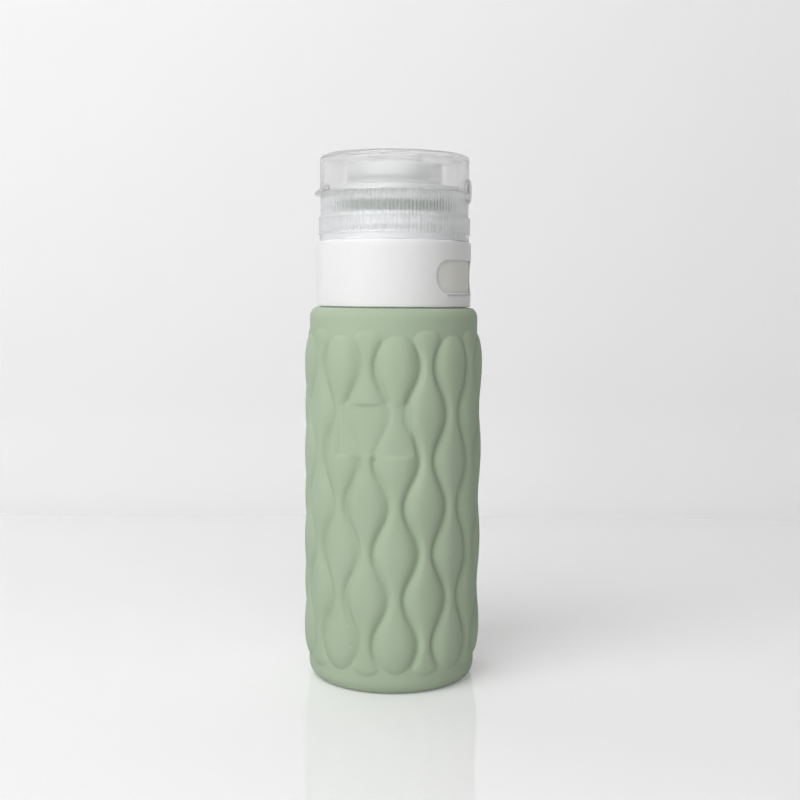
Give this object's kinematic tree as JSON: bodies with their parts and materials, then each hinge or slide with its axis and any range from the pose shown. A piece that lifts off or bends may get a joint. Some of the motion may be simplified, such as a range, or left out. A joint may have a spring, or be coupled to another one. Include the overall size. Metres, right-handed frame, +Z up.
{
  "type": "travel silicone bottle",
  "caption": "Squeezable silicone travel bottle with puffed wavy columns, a turning label collar with a window, and a screwed flip-top cap with a slit valve.",
  "frame": {"origin": "centre of the base, on the surface that the bottle stands on", "axes": "+Z up along the bottle's axis; -Y is the pictured front; the lid's hinge is at +X and its thumb tab at -X"},
  "size_m": [0.0452, 0.0452, 0.1323],
  "materials": {
    "green_silicone": "matte sage green silicone",
    "white_plastic": "satin white polypropylene",
    "label_plastic": "matte white plastic",
    "clear_plastic": "hazy clear polypropylene",
    "clear_silicone": "milky clear silicone"
  },
  "bodies": {
    "bottle": {"silicone_body": "green_silicone", "neck_ring": "white_plastic", "label_drum": "label_plastic"},
    "sleeve": {"window_sleeve": "white_plastic"},
    "seal": {"cap_seal": "clear_silicone"},
    "cap": {"cap_base": "clear_plastic", "slit_valve": "clear_silicone", "valve_retainer": "clear_plastic", "hinge_strap": "clear_plastic"},
    "lid": {"flip_lid": "clear_plastic"}
  },
  "joints": [
    {"name": "sleeve_turn", "type": "hinge", "parent": "bottle", "child": "sleeve", "pos_m": [0, 0, 0.103], "axis": [0, 0, 1], "continuous": true},
    {"name": "cap_lift", "type": "slide", "parent": "bottle", "child": "seal", "axis": [0, 0, 1], "range_m": [0, 0.00621]},
    {"name": "cap_turn", "type": "hinge", "parent": "seal", "child": "cap", "pos_m": [0, 0, 0.117], "axis": [0, 0, 1], "range_deg": [0, 720]},
    {"name": "lid_hinge", "type": "hinge", "parent": "cap", "child": "lid", "pos_m": [0.01932, 0, 0.12355], "axis": [0, 1, 0], "range_deg": [0, 170], "deforming": ["hinge_strap"]}
  ],
  "couplings": [
    {"joint": "cap_lift", "follows": "cap_turn", "m_per_rad": 0.00049338}
  ]
}
